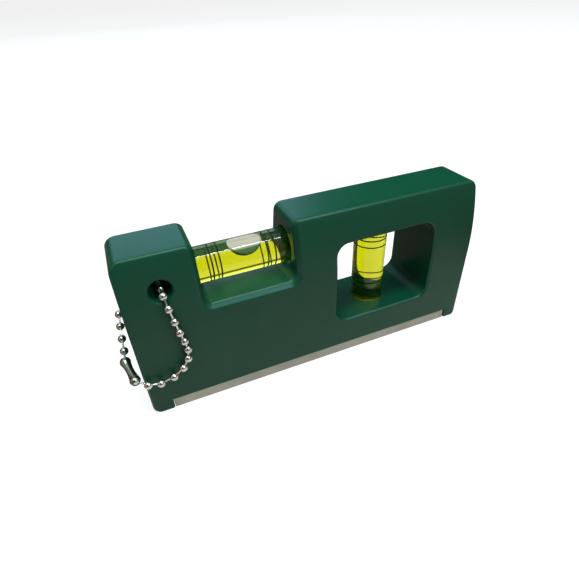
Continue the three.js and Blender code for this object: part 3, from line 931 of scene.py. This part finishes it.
def add_floor():
    """A pale floor that reads as white away from the object's soft shadow."""
    bm = bmesh.new()
    bmesh.ops.create_grid(bm, x_segments=1, y_segments=1, size=FLOOR_REACH)
    bmesh.ops.translate(bm, vec=(0, 0, -FLOOR_DROP), verts=bm.verts)
    material, tree = new_material("floor")
    paper = noise_value(tree, object_coordinates(tree), 400, detail=3)
    matt = add_node(tree, "BsdfDiffuse", {
        "Color": mixed_colour(tree, paper, (0.21, 0.21, 0.21, 1), (0.23, 0.23, 0.23, 1)),
    })
    rays = add_node(tree, "LightPath").outputs
    shine = combine(tree, "SUBTRACT", rays["Is Glossy Ray"], rays["Is Transmission Ray"])
    glow = add_node(tree, "Emission", {
        "Color": mixed_colour(tree, shine, (1, 1, 1, 1), (0.68, 0.64, 0.55, 1)),
        "Strength": combine(tree, "MULTIPLY", background_rays(tree), FLOOR_GLOW),
    })
    sum_of_both = add_node(tree, "AddShader", {0: matt.outputs[0], 1: glow.outputs[0]})
    show_surface(tree, sum_of_both.outputs[0])
    new_object("floor", bm, material)


def add_area_light(name, place, target, size, power, colour, seen):
    """A soft lamp. One that isn't seen lights matt surfaces but makes no highlight."""
    light = bpy.data.lights.new(name, "AREA")
    light.shape = "RECTANGLE"
    light.size, light.size_y = size
    light.energy = power
    light.color = colour
    lamp = bpy.data.objects.new(name, light)
    lamp.location = place
    lamp.rotation_euler = (Vector(target) - Vector(place)).to_track_quat("-Z", "Y").to_euler()
    lamp.visible_glossy = seen
    lamp.visible_transmission = seen
    bpy.context.scene.collection.objects.link(lamp)
    return lamp


def keep_off(lamp, pieces):
    """The lamp leaves those pieces out, so that its broad reflection doesn't veil them."""
    group = bpy.data.collections.new(lamp.name + "_leaves_out")
    for piece in pieces:
        group.objects.link(piece)
    for row in group.collection_objects:
        row.light_linking.link_state = "EXCLUDE"
    lamp.light_linking.receiver_collection = group


def show_only_to(piece, kind):
    for ray in ("camera", "diffuse", "glossy", "transmission", "volume_scatter", "shadow"):
        setattr(piece, "visible_" + ray, ray == kind)


def add_tent():
    """A dark tent round the stage and its lamps that only gloss and metal reflect. Its hem leaves the pale
    floor before the object open."""
    line = [(TENT_HEM, TENT_FOOT), (TENT_RADIUS, TENT_FOOT), (TENT_RADIUS, TENT_HEIGHT), (0, TENT_HEIGHT)]
    bm = lathe(line, STAGE_SIDES, Matrix.Translation((*TENT_MIDDLE, 0)))
    material, tree = new_material("tent")
    place = object_coordinates(tree)
    folds = noise_value(tree, place, 8)
    cloth = mixed_colour(tree, folds, (0.9, 0.74, 0.6, 1), (1, 0.84, 0.7, 1))
    from_middle = add_node(tree, "VectorMath", {0: place, 1: (1, 1, 0)}, operation="MULTIPLY").outputs[0]
    radius = add_node(tree, "VectorMath", {0: from_middle}, operation="LENGTH").outputs["Value"]
    height = add_node(tree, "SeparateXYZ", {0: place}).outputs["Z"]
    roof = combine(tree, "MULTIPLY", spread(tree, radius, 1, 0, ROOF_RADIUS, TENT_RADIUS),
                   spread(tree, height, 0, 1, 0, TENT_HEIGHT))
    way = add_node(tree, "VectorMath", {0: place}, operation="NORMALIZE").outputs[0]
    near = add_node(tree, "VectorMath", {0: way, 1: FRONT_WAY}, operation="DOT_PRODUCT").outputs["Value"]
    front = combine(tree, "MULTIPLY", spread(tree, near, 0, 1, *FRONT_RIM),
                    spread(tree, near, 1, 0, *FRONT_MIDDLE))
    front = combine(tree, "MULTIPLY", front, spread(tree, height, 0, 1, *FRONT_FOOT))
    hem = spread(tree, height, HEM_GLOW, TENT_GLOW, *HEM_FADE)
    cloth_glow = combine(tree, "MAXIMUM", hem, combine(tree, "MULTIPLY", front, FRONT_GLOW))
    roof_glow = combine(tree, "MULTIPLY", roof, ROOF_GLOW)
    shade = add_node(tree, "Emission", {
        "Color": mixed_colour(tree, roof, cloth, (0.6, 1, 0.82, 1)),
        "Strength": combine(tree, "MAXIMUM", cloth_glow, roof_glow),
    })
    show_surface(tree, shade.outputs[0])
    tent = new_object("tent", bm, material)
    show_only_to(tent, "glossy")


def add_horizon():
    """A dark band low round the stage, which the vials bend into a thin dark line near their lower edge."""
    line = [(HORIZON_RADIUS, HORIZON_FOOT), (HORIZON_RADIUS, HORIZON_HEIGHT)]
    bm = lathe(line, STAGE_SIDES, Matrix.Identity(4))
    material, tree = new_material("horizon")
    patches = noise_value(tree, object_coordinates(tree), 5)
    shade = add_node(tree, "Emission", {
        "Color": mixed_colour(tree, patches, (0.10, 0.09, 0.07, 1), (0.16, 0.15, 0.12, 1)),
    })
    show_surface(tree, shade.outputs[0])
    horizon = new_object("horizon", bm, material)
    show_only_to(horizon, "transmission")


def add_vial_shade(vial, material):
    """A strip inside the main vial that only shadow rays meet. The clear tube casts no shadow itself, as
    its material would block all light; the strip gives the soft one on the notch's floor."""
    bm = bmesh.new()
    bmesh.ops.create_grid(bm, x_segments=1, y_segments=1, size=0.5)
    bmesh.ops.scale(bm, vec=(vial["opening"], SHADE_WIDTH, 1), verts=bm.verts)
    middle = Vector((0, 0, -SHADE_DROP)) + vial["matrix"].translation
    middle.x = (NOTCH_LEFT + NOTCH_RIGHT) / 2
    bmesh.ops.translate(bm, vec=middle, verts=bm.verts)
    shade = new_object("vial_shade", bm, material)
    show_only_to(shade, "shadow")


def add_camera():
    level = math.cos(CAMERA_DROP)
    forward = Vector((
        math.sin(CAMERA_BEARING) * level, math.cos(CAMERA_BEARING) * level, -math.sin(CAMERA_DROP)))
    right = Vector((math.cos(CAMERA_BEARING), -math.sin(CAMERA_BEARING), 0))
    down = forward.cross(right)
    turned_right = right * math.cos(CAMERA_ROLL) + down * math.sin(CAMERA_ROLL)
    turned_down = down * math.cos(CAMERA_ROLL) - right * math.sin(CAMERA_ROLL)
    lens = bpy.data.cameras.new("camera")
    lens.lens = LENS
    lens.sensor_width = SENSOR_WIDTH
    lens.clip_start = NEAREST_SEEN
    camera = bpy.data.objects.new("camera", lens)
    axes = Matrix((turned_right, -turned_down, -forward)).transposed()
    camera.matrix_world = Matrix.Translation(CAMERA_PLACE) @ axes.to_4x4()
    bpy.context.scene.collection.objects.link(camera)
    bpy.context.scene.camera = camera


def main():
    add_camera()
    add_world()
    add_floor()
    add_tent()
    add_horizon()
    lamps = {name: add_area_light(name, *settings) for name, settings in LAMPS.items()}
    bpy.context.scene.view_settings.view_transform = "Standard"

    materials = {
        "tube": tube_material(),
        "wetted": wetted_material(),
        "liquid": liquid_material(),
        "plug": plug_material(),
        "ring": ring_material(),
        "bubble": bubble_material(),
    }
    vials = {
        "main_vial": vial_frame("main_vial", "x", NOTCH_RIGHT - NOTCH_LEFT),
        "plumb_vial": vial_frame("plumb_vial", "z", WINDOW_TOP - WINDOW_SILL),
    }
    add_body(body_material(), vials)
    add_strip(strip_material())
    main_tube = add_vial("main_vial", vials["main_vial"], materials, main_bubble_mesh(vials["main_vial"]))
    add_vial("plumb_vial", vials["plumb_vial"], materials, plumb_bubble_mesh(vials["plumb_vial"]))
    keep_off(lamps["corner"], [main_tube])
    add_vial_shade(vials["main_vial"], materials["ring"])
    bright = steel_material("nickel_plate", (0.60, 0.57, 0.53, 1), (0.73, 0.70, 0.66, 1))
    worn = steel_material("worn_nickel_plate", (0.28, 0.275, 0.25, 1), (0.39, 0.385, 0.355, 1))
    add_chain(bright, worn)


main()
